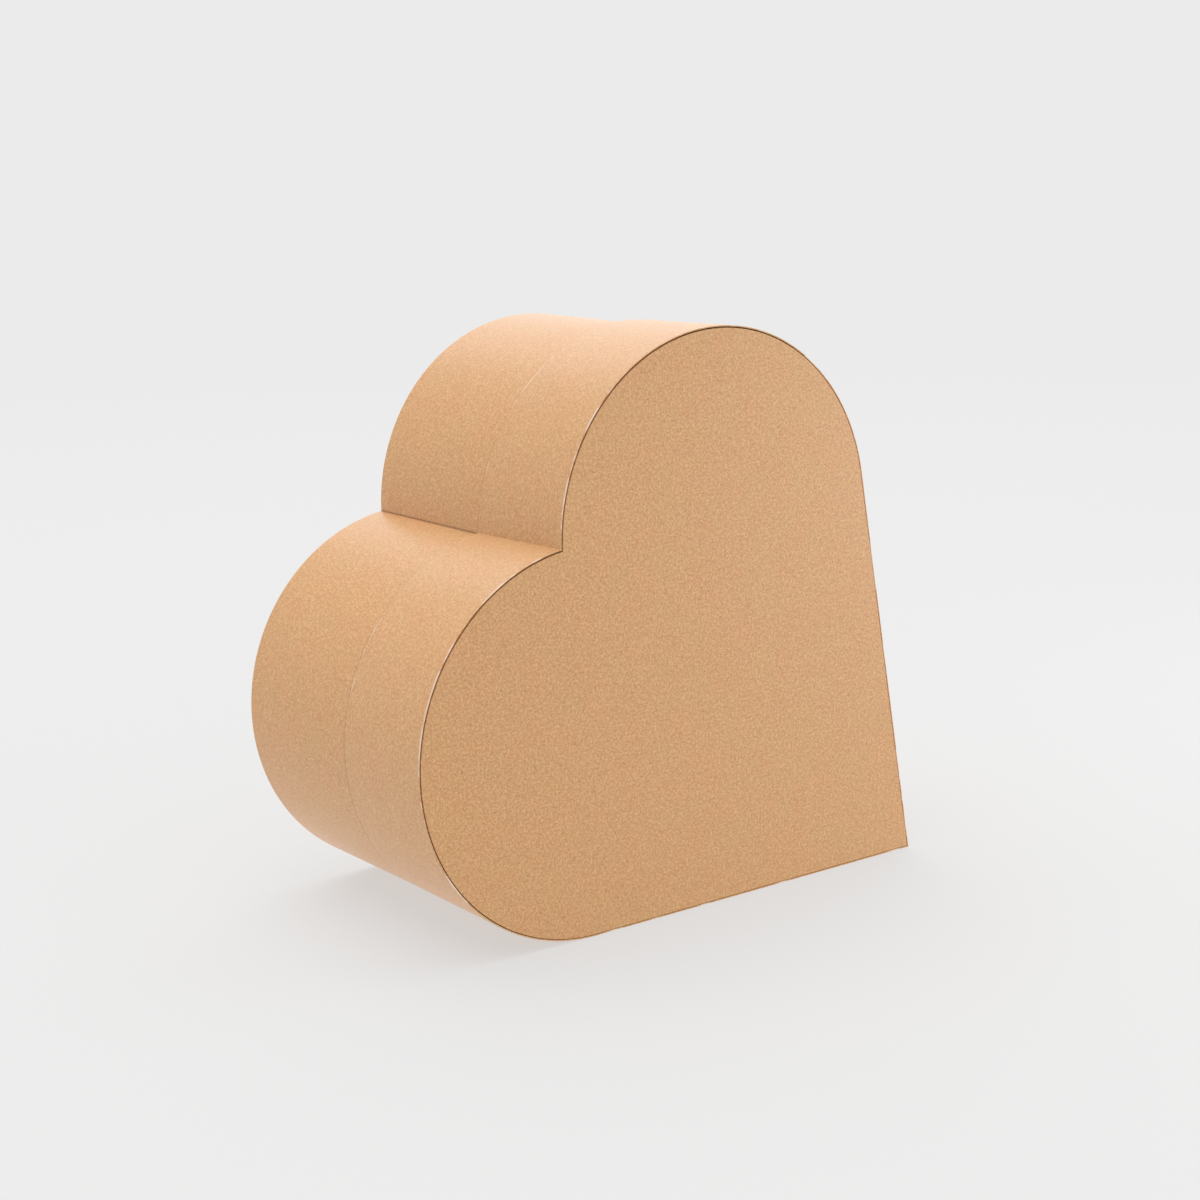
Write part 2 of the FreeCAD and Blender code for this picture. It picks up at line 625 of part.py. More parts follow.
def spiral_face(turns, start, pitch, thick):
    """Flat strip wound in half circles whose centres step from side to side."""
    sides = []
    for offset in (-thick / 2, thick / 2):
        arcs = []
        for half_turn in range(2 * turns):
            radius = start + half_turn * pitch / 2 + offset
            centre = Vector(0 if half_turn % 2 == 0 else pitch / 2, 0, 0)
            begin = 0 if half_turn % 2 == 0 else math.pi
            curve = Part.Circle(centre, Vector(0, 0, 1), radius)
            arcs.append(Part.ArcOfCircle(curve, begin, begin + math.pi))
        sides.append(arcs)
    inner, outer = sides
    caps = [Part.LineSegment(inner[0].StartPoint, outer[0].StartPoint),
            Part.LineSegment(inner[-1].EndPoint, outer[-1].EndPoint)]
    edges = [curve.toShape() for curve in inner + outer + caps]
    return Part.Face(Part.Wire(Part.__sortEdges__(edges)))


mainspring = doc.addObject("Part::Feature", "mainspring")
strip = spiral_face(int(number("dims.spring_turns")),
                    number("dims.arbor_core") + 2 * number("dims.fit_gap")
                    + number("dims.spring_thick") / 2,
                    number("dims.spring_pitch"), number("dims.spring_thick"))
mainspring.Shape = strip.extrude(Vector(0, 0, number("dims.spring_width")))
keep(place(mainspring, z="dims.spring_low"), "mainspring")

# bridge over the barrel: two feet, two legs, a top plate and an ear for the cylinder axle
BRIDGE_TOP = "dims.barrel_high + dims.bridge_rise"
bridge = place(new_body("barrel_bridge"))
profile = new_sketch(bridge, "profile", "YZ_Plane", "-dims.strap_width / 2")
polygon(profile, [
    (f"-{BRIDGE_HALF} - dims.foot_length", "dims.bed_thick"),
    (f"-{BRIDGE_HALF} + dims.frame_thick", "dims.bed_thick"),
    (f"-{BRIDGE_HALF} + dims.frame_thick", f"{BRIDGE_TOP} - dims.frame_thick"),
    (f"{BRIDGE_HALF} - dims.frame_thick", f"{BRIDGE_TOP} - dims.frame_thick"),
    (f"{BRIDGE_HALF} - dims.frame_thick", "dims.bed_thick"),
    (f"{BRIDGE_HALF} + dims.foot_length", "dims.bed_thick"),
    (f"{BRIDGE_HALF} + dims.foot_length", "dims.bed_thick + dims.frame_thick"),
    (BRIDGE_HALF, "dims.bed_thick + dims.frame_thick"),
    (BRIDGE_HALF, BRIDGE_TOP),
    (f"-{BRIDGE_HALF}", BRIDGE_TOP),
    (f"-{BRIDGE_HALF}", "dims.bed_thick + dims.frame_thick"),
    (f"-{BRIDGE_HALF} - dims.foot_length", "dims.bed_thick + dims.frame_thick"),
])
pad(bridge, profile, "dims.strap_width", "strap")
ear = new_sketch(bridge, "ear", "YZ_Plane", "dims.strap_width / 2")
rectangle(ear, "-dims.ear_half", "dims.ear_half", f"{BRIDGE_TOP} - dims.frame_thick",
          "dims.axis_height + dims.ear_half")
pad(bridge, ear, "dims.frame_thick", "ear_plate")
ear_hole = new_sketch(bridge, "ear_hole", "YZ_Plane", "dims.strap_width / 2")
circle(ear_hole, "0", "dims.axis_height", "dims.axle_pivot + dims.fit_gap", "axle")
ear_bore = bridge.newObject("PartDesign::Pocket", "ear_bore")
ear_bore.Profile = ear_hole
ear_bore.Midplane = True
bind(ear_bore, Length="4 * dims.frame_thick")
strap_holes = new_sketch(bridge, "strap_holes")
circle(strap_holes, "0", "0", "dims.arbor_pivot + dims.fit_gap", "arbor")
for tag in ("bridge_near", "bridge_far"):
    circle(strap_holes, *SMALL_SCREW_PLACES[tag], "dims.small_screw", tag)
cut_through(bridge, strap_holes, "strap_bores")


def small_screw(name, x, y, seat, depth):
    """Round-headed screw with a slot; seat is the face under its head."""
    shank = rod(f"{name}_shank", "dims.small_screw", depth, x, y, f"{seat} - ({depth})")
    head = rod(f"{name}_head", "dims.small_head", "dims.small_head_high", x, y, seat)
    slot = doc.addObject("Part::Box", f"{name}_slot")
    bind(slot, Length="2 * dims.small_head", Width="dims.narrow_slot",
         Height="dims.narrow_slot")
    place(slot, f"{x} - dims.small_head", f"{y} - dims.narrow_slot / 2",
          f"{seat} + dims.small_head_high - dims.narrow_slot")
    blank = joined("Fuse", f"{name}_blank", shank, head)
    return joined("Cut", name, blank, slot)


FOOT_TOP = "(dims.bed_thick + dims.frame_thick)"


def foot_screws(label, tags):
    """Screws that hold a sheet-metal foot to the bedplate."""
    group(label, [small_screw(f"{tag}_screw", *SMALL_SCREW_PLACES[tag], FOOT_TOP, FOOT_TOP)
                  for tag in tags])


foot_screws("bridge_screws", ["bridge_near", "bridge_far"])


# ---------------------------------------------------------------- gears
def spur_gear(label, teeth, module, width, bore, addendum=0.8, dedendum=1.1, thick=0.4):
    """Flat gear about its own Z axis with tapered teeth; tooth 0 is centred on its X axis."""
    body = new_body(label)
    size = number(module)
    root = f"({module}) * (({teeth}) / 2 - {dedendum})"
    tip = f"({module}) * (({teeth}) / 2 + {addendum})"
    blank = new_sketch(body, "blank")
    circle(blank, "0", "0", root, "root")
    circle(blank, "0", "0", bore, "bore")
    pad(body, blank, width, "disc")
    tooth = new_sketch(body, "tooth")
    half_pitch = math.pi * size / 2
    base_half = half_pitch * (thick + 0.26)
    tip_half = half_pitch * (thick - 0.2)
    buried = f"{root} - {size / 4:.3f}"
    polygon(tooth, [
        (buried, f"{-base_half:.4f}"),
        (tip, f"{-tip_half:.4f}"),
        (tip, f"{tip_half:.4f}"),
        (buried, f"{base_half:.4f}"),
    ])
    around(body, pad(body, tooth, width, "tooth_pad"), teeth)
    return body


def mesh_angle(dy, dz):
    """Angle, about an axis along x, of the direction dy, dz on the bench."""
    return math.degrees(math.atan2(-dz, -dy))


CROWN_MODULE = "(2 * dims.crown_radius / dims.crown_teeth)"
AXLE_Z = "dims.axis_height"
pinion = spur_gear("drive_pinion", "dims.pinion_teeth", CROWN_MODULE, "dims.pinion_width",
                   "dims.axle_radius")
place(pinion, "dims.crown_radius - dims.pinion_width / 2", 0, AXLE_Z, ALONG_X, mesh_angle(0, -1))

train_angle = mesh_angle(number("dims.governor_y"),
                         number("dims.governor_z") - number("dims.axis_height"))
gear = spur_gear("cylinder_gear", "dims.gear_teeth", "dims.wheel_module", "dims.gear_width",
                 "dims.axle_radius")
place(gear, "dims.gear_left", 0, AXLE_Z, ALONG_X, train_angle)

GOVERNOR_PLACE = ("dims.governor_y", "dims.governor_z")
leaf = spur_gear("governor_pinion", "dims.governor_pinion_teeth", "dims.wheel_module",
                 "dims.gear_width + 0.4", "dims.axle_pivot")
place(leaf, "dims.gear_left - 0.2", *GOVERNOR_PLACE, ALONG_X,
      train_angle + 180 + 180 / number("dims.governor_pinion_teeth"))
wheel = spur_gear("worm_wheel", "dims.worm_wheel_teeth", "dims.wheel_module",
                  "dims.worm_wheel_width", "dims.axle_pivot", 0.85, 1.0, 0.32)
place(wheel, "dims.worm_wheel_left", *GOVERNOR_PLACE, ALONG_X, mesh_angle(1, 0))
keep(rod("governor_axle", "dims.axle_pivot", "dims.axle_right - dims.cheek_left",
         "dims.cheek_left", *GOVERNOR_PLACE, ALONG_X), "governor_axle")

# ---------------------------------------------------------------- cylinder
drum = place(new_body("cylinder_drum"), "dims.drum_left", 0, AXLE_Z, ALONG_X)
turned(drum, [
    ("dims.drum_radius - dims.drum_wall", "0"),
    ("dims.drum_radius", "0"),
    ("dims.drum_radius", "dims.drum_right - dims.drum_left"),
    ("dims.drum_radius - dims.drum_wall", "dims.drum_right - dims.drum_left"),
], "tube")
caps = []
for name, x in (("cap_left", "dims.drum_left + dims.cap_inset"),
                ("cap_right", "dims.drum_right - dims.cap_inset - dims.cap_thick")):
    disc = rod(f"{name}_disc", "dims.drum_radius - dims.drum_wall", "dims.cap_thick",
               x, 0, AXLE_Z, ALONG_X)
    hole = rod(f"{name}_hole", "dims.axle_radius", "dims.cap_thick", x, 0, AXLE_Z, ALONG_X)
    caps.append(joined("Cut", name, disc, hole))
group("cylinder_caps", caps)

axle = place(new_body("cylinder_axle"), 0, 0, AXLE_Z, ALONG_X)
turned(axle, [
    ("0", "dims.axle_left"),
    ("dims.axle_pivot", "dims.axle_left"),
    ("dims.axle_pivot", "dims.axle_left + dims.pivot_length"),
    ("dims.axle_radius", "dims.axle_left + dims.pivot_length"),
    ("dims.axle_radius", "dims.axle_right - dims.pivot_length"),
    ("dims.axle_pivot", "dims.axle_right - dims.pivot_length"),
    ("dims.axle_pivot", "dims.axle_right"),
    ("0", "dims.axle_right"),
])


def first_note():
    """Distance from the drum's left end to the first track, with the tracks centred on the drum."""
    length = number("dims.drum_right") - number("dims.drum_left")
    return (length - (number("dims.notes") - 1) * number("dims.note_pitch")) / 2


# a plain exercise: each bar runs up and down the comb and starts higher, with a fifth on some steps
BARS = 4
FIFTH = 7
steps_around, notes = int(number("dims.bar_steps")), int(number("dims.notes"))
bar = steps_around // BARS
pins = []
for step in range(steps_around):
    climb = bar / 2 - abs(step % bar - bar / 2)
    note = 2 * int(climb + step // bar)
    chord = [note, note + FIFTH] if step % BARS == 0 else [note]
    for track in [n % notes for n in chord]:
        pin = Part.makeCylinder(
            number("dims.pin_radius"), number("dims.pin_out") + number("dims.pin_in"),
            Vector(number("dims.drum_radius") - number("dims.pin_in"), 0,
                   first_note() + track * number("dims.note_pitch")), Vector(1, 0, 0))
        pin.rotate(Vector(), Vector(0, 0, 1), (step + 0.5) * 360 / steps_around)
        pins.append(pin)
cylinder_pins = doc.addObject("Part::Feature", "cylinder_pins")
cylinder_pins.Shape = Part.makeCompound(pins)
keep(place(cylinder_pins, "dims.drum_left", 0, AXLE_Z, ALONG_X), "cylinder_pins")

# end bracket: carries the cylinder axle and the governor axle on the right
bracket = place(new_body("end_bracket"))
BRACKET_X = "dims.bed_right - dims.bracket_inset"
upright = new_sketch(bracket, "upright", "YZ_Plane", BRACKET_X)
polygon(upright, [
    ("-dims.bracket_half", "dims.bed_thick"),
    ("dims.governor_y + dims.bearing_margin", "dims.bed_thick"),
    ("dims.governor_y + dims.bearing_margin", "dims.governor_z + dims.bearing_margin"),
    ("dims.bracket_half", "dims.axis_height + dims.bracket_half"),
    ("-dims.bracket_half", "dims.axis_height + dims.bracket_half"),
])
pad(bracket, upright, "dims.frame_thick", "plate")
foot = new_sketch(bracket, "foot", "XY_Plane", "dims.bed_thick")
rectangle(foot, f"{BRACKET_X} - dims.bracket_foot", BRACKET_X,
          "-dims.bracket_half", "dims.bracket_half")
pad(bracket, foot, "dims.frame_thick", "foot_plate")
bracket_bores = new_sketch(bracket, "bracket_bores", "YZ_Plane", BRACKET_X)
circle(bracket_bores, "0", "dims.axis_height", "dims.axle_pivot + dims.fit_gap", "axle")
circle(bracket_bores, *GOVERNOR_PLACE, "dims.axle_pivot + dims.fit_gap", "governor")
cut_through(bracket, bracket_bores, "bores")
foot_hole = new_sketch(bracket, "foot_hole")
circle(foot_hole, *SMALL_SCREW_PLACES["bracket"], "dims.small_screw", "screw")
cut_through(bracket, foot_hole, "foot_bore")

# ---------------------------------------------------------------- comb
COMB_TIP = "(-dims.drum_radius - dims.pin_out - dims.comb_gap)"
TRACK_SPAN = "(dims.notes * dims.note_pitch)"
COMB_MIDDLE = "((dims.drum_left + dims.drum_right) / 2)"
COMB_LEFT = f"{COMB_MIDDLE} - {TRACK_SPAN} / 2"
COMB_RIGHT = f"{COMB_MIDDLE} + {TRACK_SPAN} / 2"
LONGEST_ROOT = f"{COMB_TIP} - dims.comb_short - (dims.notes - 2) * dims.comb_step"
COMB_SCREW_Y = "(dims.comb_back + dims.comb_screw_y)"
COMB_SCREWS = {"comb_left": (f"({COMB_MIDDLE} - dims.comb_screw_x)", COMB_SCREW_Y),
               "comb_right": (f"({COMB_MIDDLE} + dims.comb_screw_x)", COMB_SCREW_Y)}
comb = place(new_body("comb"))
comb_outline = new_sketch(comb, "outline", "XY_Plane", "dims.comb_top - dims.comb_thick")
polygon(comb_outline, [
    (f"{COMB_LEFT} - dims.comb_margin", "dims.comb_back"),
    (f"{COMB_RIGHT} + dims.comb_margin", "dims.comb_back"),
    (f"{COMB_RIGHT} + dims.comb_margin", LONGEST_ROOT),
    (COMB_RIGHT, LONGEST_ROOT),
    (COMB_RIGHT, COMB_TIP),
    (COMB_LEFT, COMB_TIP),
    (COMB_LEFT, f"{COMB_TIP} - dims.comb_short"),
    (f"{COMB_LEFT} - dims.comb_margin", f"{COMB_TIP} - dims.comb_short"),
])
pad(comb, comb_outline, "dims.comb_thick", "plate")
slots = new_sketch(comb, "slots")
for i in range(1, notes):
    middle = f"{COMB_LEFT} + {i} * dims.note_pitch"
    rectangle(slots, f"{middle} - dims.comb_slot / 2", f"{middle} + dims.comb_slot / 2",
              f"{COMB_TIP} - dims.comb_short - {i} * dims.comb_step", f"{COMB_TIP} + 1", f"s{i}_")
for tag, (x, y) in COMB_SCREWS.items():
    circle(slots, x, y, "dims.small_screw", tag)
cut_through(comb, slots, "teeth")

weights = []
for i in range(int(number("dims.weights"))):
    weight = doc.addObject("Part::Box", f"weight{i}")
    width = "(dims.note_pitch - dims.weight_gap)"
    length = f"(dims.weight_length + {i} * dims.weight_length_step)"
    height = f"(dims.weight_height + {i} * dims.weight_height_step)"
    bind(weight, Length=width, Width=length, Height=height)
    middle = f"{COMB_LEFT} + ({i} + dims.first_weight + 0.5) * dims.note_pitch"
    place(weight, f"{middle} - {width} / 2", f"{COMB_TIP} - dims.weight_back - {length}",
          f"dims.comb_top - dims.comb_thick - {height}")
    weights.append(weight)
group("comb_weights", weights)

comb_base = place(new_body("comb_base"))
block = new_sketch(comb_base, "block", "XY_Plane", "dims.bed_thick")
rectangle(block, f"{COMB_LEFT} - dims.comb_margin", f"{COMB_RIGHT} + dims.comb_margin",
          "dims.comb_back", "dims.comb_base_front")
pad(comb_base, block, "dims.comb_top - dims.comb_thick - dims.bed_thick", "riser")
threads = new_sketch(comb_base, "threads")
for tag, (x, y) in COMB_SCREWS.items():
    circle(threads, x, y, "dims.small_screw", tag)
cut_through(comb_base, threads, "tapped_holes")
group("comb_screws", [
    small_screw(f"{tag}_screw", x, y, "dims.comb_top", "dims.comb_thick + dims.comb_screw_bite")
    for tag, (x, y) in COMB_SCREWS.items()
])

# ---------------------------------------------------------------- governor
frame = place(new_body("governor_frame"))
side_view = new_sketch(frame, "side_view", "YZ_Plane", "dims.frame_left")
polygon(side_view, [
    ("dims.worm_y + dims.frame_foot_y", "dims.bed_thick"),
    ("dims.frame_back", "dims.bed_thick"),
    ("dims.frame_back", "dims.frame_top"),
    ("dims.worm_y - dims.frame_front", "dims.frame_top"),
    ("dims.worm_y - dims.frame_front", "dims.frame_top - dims.frame_thick"),
    ("dims.frame_back - dims.frame_thick", "dims.frame_top - dims.frame_thick"),
    ("dims.frame_back - dims.frame_thick", FOOT_TOP),
    ("dims.worm_y + dims.frame_foot_y", FOOT_TOP),
])
pad(frame, side_view, "dims.frame_width", "channel")
cheek = new_sketch(frame, "cheek", "YZ_Plane", "dims.cheek_left")
rectangle(cheek, "dims.governor_y - dims.bearing_margin", "dims.frame_back",
          "dims.bed_thick", "dims.governor_z + dims.bearing_margin")
pad(frame, cheek, "dims.frame_thick", "cheek_plate")
cheek_bore = new_sketch(frame, "cheek_bore", "YZ_Plane", "dims.cheek_left")
circle(cheek_bore, *GOVERNOR_PLACE, "dims.axle_pivot + dims.fit_gap", "axle")
cut_through(frame, cheek_bore, "cheek_hole")
frame_bores = new_sketch(frame, "frame_bores")
circle(frame_bores, "dims.worm_x", "dims.worm_y", "dims.shaft_radius + dims.fit_gap", "shaft")
circle(frame_bores, *SMALL_SCREW_PLACES["frame"], "dims.small_screw", "screw")
cut_through(frame, frame_bores, "frame_holes")
foot_screws("frame_screws", ["frame", "bracket"])

WORM_PITCH = "(pi * dims.wheel_module)"
# the thread starts on the worm's X axis; it is turned so that a gap faces the wheel's tooth
WHEEL_SIDE = 270
turns_below = (number("dims.governor_z") - number("dims.worm_low")) / number(WORM_PITCH)
worm = place(new_body("governor_worm"), "dims.worm_x", "dims.worm_y", 0,
             phase=WHEEL_SIDE - 360 * (turns_below - 0.5))
turned(worm, [
    ("0", "0.4"),
    ("dims.shaft_radius", "0.4"),
    ("dims.shaft_radius", "dims.worm_low - 1"),
    ("dims.worm_root", "dims.worm_low - 1"),
    ("dims.worm_root", f"dims.worm_low + dims.worm_turns * {WORM_PITCH} + 1"),
    ("dims.shaft_radius", f"dims.worm_low + dims.worm_turns * {WORM_PITCH} + 1"),
    ("dims.shaft_radius", "dims.frame_top - 0.2"),
    ("0", "dims.frame_top - 0.2"),
], "shaft")
thread = new_sketch(worm, "thread_section", "XZ_Plane")
polygon(thread, [
    ("dims.worm_root - 0.15", "dims.worm_low - dims.worm_thick * 0.75"),
    ("dims.worm_outer", "dims.worm_low - dims.worm_thick * 0.3"),
    ("dims.worm_outer", "dims.worm_low + dims.worm_thick * 0.3"),
    ("dims.worm_root - 0.15", "dims.worm_low + dims.worm_thick * 0.75"),
])
helix = worm.newObject("PartDesign::AdditiveHelix", "thread")
helix.Profile = thread
helix.ReferenceAxis = (origin_feature(worm, "Z_Axis"), [""])
helix.Mode = "pitch-turns-angle"
bind(helix, Pitch=WORM_PITCH, Turns="dims.worm_turns")

fan = place(new_body("governor_fan"), "dims.worm_x", "dims.worm_y", 0)
hub = new_sketch(fan, "hub", "XY_Plane", "dims.fan_low")
circle(hub, "0", "0", "dims.hub_radius", "hub")
circle(hub, "0", "0", "dims.shaft_radius", "bore")
pad(fan, hub, "dims.fan_high - dims.fan_low", "hub_pad")
blade = new_sketch(fan, "blade", "XY_Plane", "dims.fan_low")
rectangle(blade, "dims.hub_radius - 0.2", "dims.fan_radius", "-dims.fan_blade / 2", "dims.fan_blade / 2")
around(fan, pad(fan, blade, "dims.fan_high - dims.fan_low", "blade_pad"), "2")

# ---------------------------------------------------------------- key
KEY_TOP = "(-dims.board - dims.panel - dims.key_gap)"
key_shank = place(new_body("key_shank"), z=KEY_TOP)
turned(key_shank, [
    ("dims.arbor_thread", "0"),
    ("dims.key_radius", "0"),
    ("dims.key_radius", "-dims.key_shank"),
    ("0", "-dims.key_shank"),
    ("0", f"dims.arbor_low - {KEY_TOP}"),
    ("dims.arbor_thread", f"dims.arbor_low - {KEY_TOP}"),
])
slot_cut = new_sketch(key_shank, "wing_slot", "XZ_Plane")
rectangle(slot_cut, "-dims.key_radius - 1", "dims.key_radius + 1",
          "-dims.key_shank - 1", "-dims.key_shank + dims.wing_seat")
wing_seat = key_shank.newObject("PartDesign::Pocket", "wing_seat")
wing_seat.Profile = slot_cut
wing_seat.Midplane = True
bind(wing_seat, Length="dims.wing_thick")

wings = place(new_body("key_wings"), z=KEY_TOP)
plate = new_sketch(wings, "plate", "XZ_Plane")
polygon(plate, [
    ("-dims.wing_reach", "-dims.key_shank - dims.wing_height"),
    ("0", "-dims.key_shank - dims.wing_height + dims.wing_dip"),
    ("dims.wing_reach", "-dims.key_shank - dims.wing_height"),
    ("dims.wing_reach", "-dims.key_shank - 1"),
    ("dims.key_radius", "-dims.key_shank + dims.wing_seat"),
    ("-dims.key_radius", "-dims.key_shank + dims.wing_seat"),
    ("-dims.wing_reach", "-dims.key_shank - 1"),
])
wing_pad = wings.newObject("PartDesign::Pad", "wing_pad")
wing_pad.Profile = plate
wing_pad.Midplane = True
bind(wing_pad, Length="dims.wing_thick")
doc.recompute()


def edges_along(feature, direction, keep_edge):
    """Names of the straight edges parallel to direction whose middle passes keep_edge."""
    names = []
    for i, edge in enumerate(feature.Shape.Edges, start=1):
        if edge.Curve.TypeId != "Part::GeomLine":
            continue
        run = (edge.Vertexes[1].Point - edge.Vertexes[0].Point).normalize()
        if abs(run.dot(direction)) > 0.999 and keep_edge(edge.CenterOfMass):
            names.append(f"Edge{i}")
    return names


def fillet(body, feature, edges, radius, name):
    rounded = body.newObject("PartDesign::Fillet", name)
    rounded.Base = (feature, edges)
    bind(rounded, Radius=radius)
    return rounded


reach = number("dims.wing_reach")
fillet(wings, wing_pad, edges_along(wing_pad, Vector(0, 1, 0), lambda p: abs(p.x) > reach - 0.1),
       "dims.wing_corner", "wing_rounding")
wing_holes = new_sketch(wings, "wing_holes", "XZ_Plane")
for tag, side in (("left", "-"), ("right", "")):
    circle(wing_holes, f"{side}(dims.wing_reach * 0.58)",
           "-dims.key_shank - dims.wing_height / 2 - 0.6", "dims.wing_hole", tag)
cut_through(wings, wing_holes)
fillet(board, board.Tip, edges_along(board.Tip, Vector(0, 0, 1), lambda p: True),
       "dims.bed_corner", "corners")
fillet(bedplate, bedplate.Tip, edges_along(bedplate.Tip, Vector(0, 0, 1), lambda p: True),
       "dims.bed_corner", "corners")
doc.recompute()


# ---------------------------------------------------------------- checks and export
for thing in doc.Objects:
    if {"Invalid", "Error"} & set(thing.State):
        raise RuntimeError(f"{thing.Label} failed: {thing.State}")
os.makedirs("parts", exist_ok=True)
for thing in SUB_PARTS:
    shape = thing.Shape
    if shape.isNull() or not shape.isValid() or not shape.Solids:
        raise RuntimeError(f"{thing.Label} has no valid solid")
    shape.exportStep(f"parts/{thing.Label}.step")
    print(f"{thing.Label:18s} {len(shape.Solids):3d} solids {shape.Volume:10.2f} mm3")
print(len(SUB_PARTS), "sub-parts")
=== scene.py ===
# %% [markdown]
# # A heart-shaped card box with a wind-up musical movement
#
# The shapes of the movement come from the fixed frame, one object for each part, in metres. The box stands on
# one straight side of the heart: X runs along that side, Y from the front to the back, and Z is up. This
# lesson builds the card case with bmesh operators, gives every part its finish from shader nodes, and sets a
# plain studio round it. First the frame is opened.

# %% Open the frame
import math

import bmesh
import bpy
from mathutils import Matrix, Vector


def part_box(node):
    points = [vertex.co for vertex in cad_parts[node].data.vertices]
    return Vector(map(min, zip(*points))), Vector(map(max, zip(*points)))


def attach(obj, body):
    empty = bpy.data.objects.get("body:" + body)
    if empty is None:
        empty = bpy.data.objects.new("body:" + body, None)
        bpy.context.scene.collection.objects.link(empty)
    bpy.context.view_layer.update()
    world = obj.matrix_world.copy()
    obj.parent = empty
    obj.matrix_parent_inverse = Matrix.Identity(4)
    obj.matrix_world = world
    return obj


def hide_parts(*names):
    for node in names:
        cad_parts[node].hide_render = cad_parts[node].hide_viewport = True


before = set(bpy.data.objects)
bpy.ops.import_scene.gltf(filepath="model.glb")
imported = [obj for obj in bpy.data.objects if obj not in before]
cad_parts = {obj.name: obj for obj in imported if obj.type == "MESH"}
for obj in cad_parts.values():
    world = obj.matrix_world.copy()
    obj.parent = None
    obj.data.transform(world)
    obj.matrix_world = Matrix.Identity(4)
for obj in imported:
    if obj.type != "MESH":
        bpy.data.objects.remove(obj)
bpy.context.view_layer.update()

MM = 0.001
print("parts in the frame:", len(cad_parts))

# %% [markdown]
# ## Camera
#
# A short telephoto lens stands a little above the box and to its left, so the front face, the curved walls of
# both lobes and the fold between them all show. Its rotation is built from three plain turns: round the
# vertical, down towards the table, and a small roll.

# %% Camera
TURN, DOWN, ROLL = math.radians(-36.593), math.radians(11.316), math.radians(-1.090)
STAND = Vector((-0.30932, -0.39121, 0.16558))
LENS, SENSOR = 60.963, 36

camera_data = bpy.data.cameras.new("camera")
camera_data.lens = LENS
camera_data.sensor_width = SENSOR
camera = bpy.data.objects.new("camera", camera_data)
camera.matrix_world = (Matrix.Translation(STAND)
                       @ Matrix.Rotation(TURN, 4, "Z")
                       @ Matrix.Rotation(math.pi / 2 - DOWN, 4, "X")
                       @ Matrix.Rotation(ROLL, 4, "Z"))
bpy.context.scene.collection.objects.link(camera)
bpy.context.scene.camera = camera
bpy.context.scene.view_settings.view_transform = "Standard"
print("camera", [round(x, 3) for x in camera.location])

# %% [markdown]
# ## Shader sums written as ordinary arithmetic
#
# A finish is mostly sums: a pattern times a strength, added to a base. Wiring Math nodes by hand hides that,
# so Wire wraps the output of a node and overloads the operators, and Finish adds any other node from its
# type, its settings and its sockets. Settings go in first, because they decide which sockets a node has.


# %% Wire and Finish
class Wire:
    """The output of a node, used in sums like a number."""

    def __init__(self, finish, socket):
        self.finish = finish
        self.socket = socket

    def math(self, operation, *terms):
        sockets = dict(enumerate(terms))
        return self.finish.node("ShaderNodeMath", {"operation": operation}, sockets)["Value"]

    def __add__(self, other):
        return self.math("ADD", self, other)

    def __radd__(self, other):
        return self.math("ADD", other, self)

    def __sub__(self, other):
        return self.math("SUBTRACT", self, other)

    def __rsub__(self, other):
        return self.math("SUBTRACT", other, self)

    def __mul__(self, other):
        return self.math("MULTIPLY", self, other)

    def __rmul__(self, other):
        return self.math("MULTIPLY", other, self)

    def between(self, low, high):
        """0 below low and 1 above high, with a smooth rise; low may be the larger of the two."""
        settings = {"interpolation_type": "SMOOTHSTEP"}
        sockets = {"Value": self, "From Min": low, "From Max": high}
        return self.finish.node("ShaderNodeMapRange", settings, sockets)["Result"]


class Finish:
    """A material being made: its nodes, and the one shader that they feed."""

    def __init__(self, name):
        self.material = bpy.data.materials.new(name)
        self.material.use_nodes = True
        self.tree = self.material.node_tree
        self.shader = self.tree.nodes["Principled BSDF"]
        self.place = self.node("ShaderNodeTexCoord")["Object"]

    def feed(self, socket, value):
        if isinstance(value, Wire):
            self.tree.links.new(value.socket, socket)
        elif hasattr(value, "__len__") and len(socket.default_value) == len(value) + 1:
            socket.default_value = (*value, 1)
        else:
            socket.default_value = value

    def node(self, kind, settings=None, sockets=None):
        made = self.tree.nodes.new(kind)
        for name, setting in (settings or {}).items():
            setattr(made, name, setting)
        for key, value in (sockets or {}).items():
            named = [s for s in made.inputs if s.enabled and s.name == key]
            self.feed(named[0] if named else made.inputs[key], value)
        return {s.name: Wire(self, s) for s in made.outputs if s.enabled}

    def set(self, **sockets):
        """Feeds the shader; an underscore in a name stands for the space in the socket's name."""
        for name, value in sockets.items():
            self.feed(self.shader.inputs[name.replace("_", " ")], value)
        return self

    def noise(self, scale, detail=2, stretch=(1, 1, 1)):
        """Cloudy pattern from 0 to 1 with scale lumps in a metre; stretch packs them closer on an axis."""
        sockets = {"Vector": self.place, "Scale": stretch}
        where = self.node("ShaderNodeMapping", None, sockets)["Vector"]
        return self.node("ShaderNodeTexNoise", None,
                         {"Vector": where, "Scale": scale, "Detail": detail})["Fac"]

    def vector(self, operation, *vectors):
        return self.node("ShaderNodeVectorMath", {"operation": operation}, dict(enumerate(vectors)))

    def mix(self, share, first, second):
        settings = {"data_type": "RGBA"}
        return self.node("ShaderNodeMix", settings, {"Factor": share, "A": first, "B": second})["Result"]

    def bump(self, height, distance, strength=1):
        sockets = {"Height": height, "Distance": distance, "Strength": strength}
        return self.set(Normal=self.node("ShaderNodeBump", None, sockets)["Normal"])
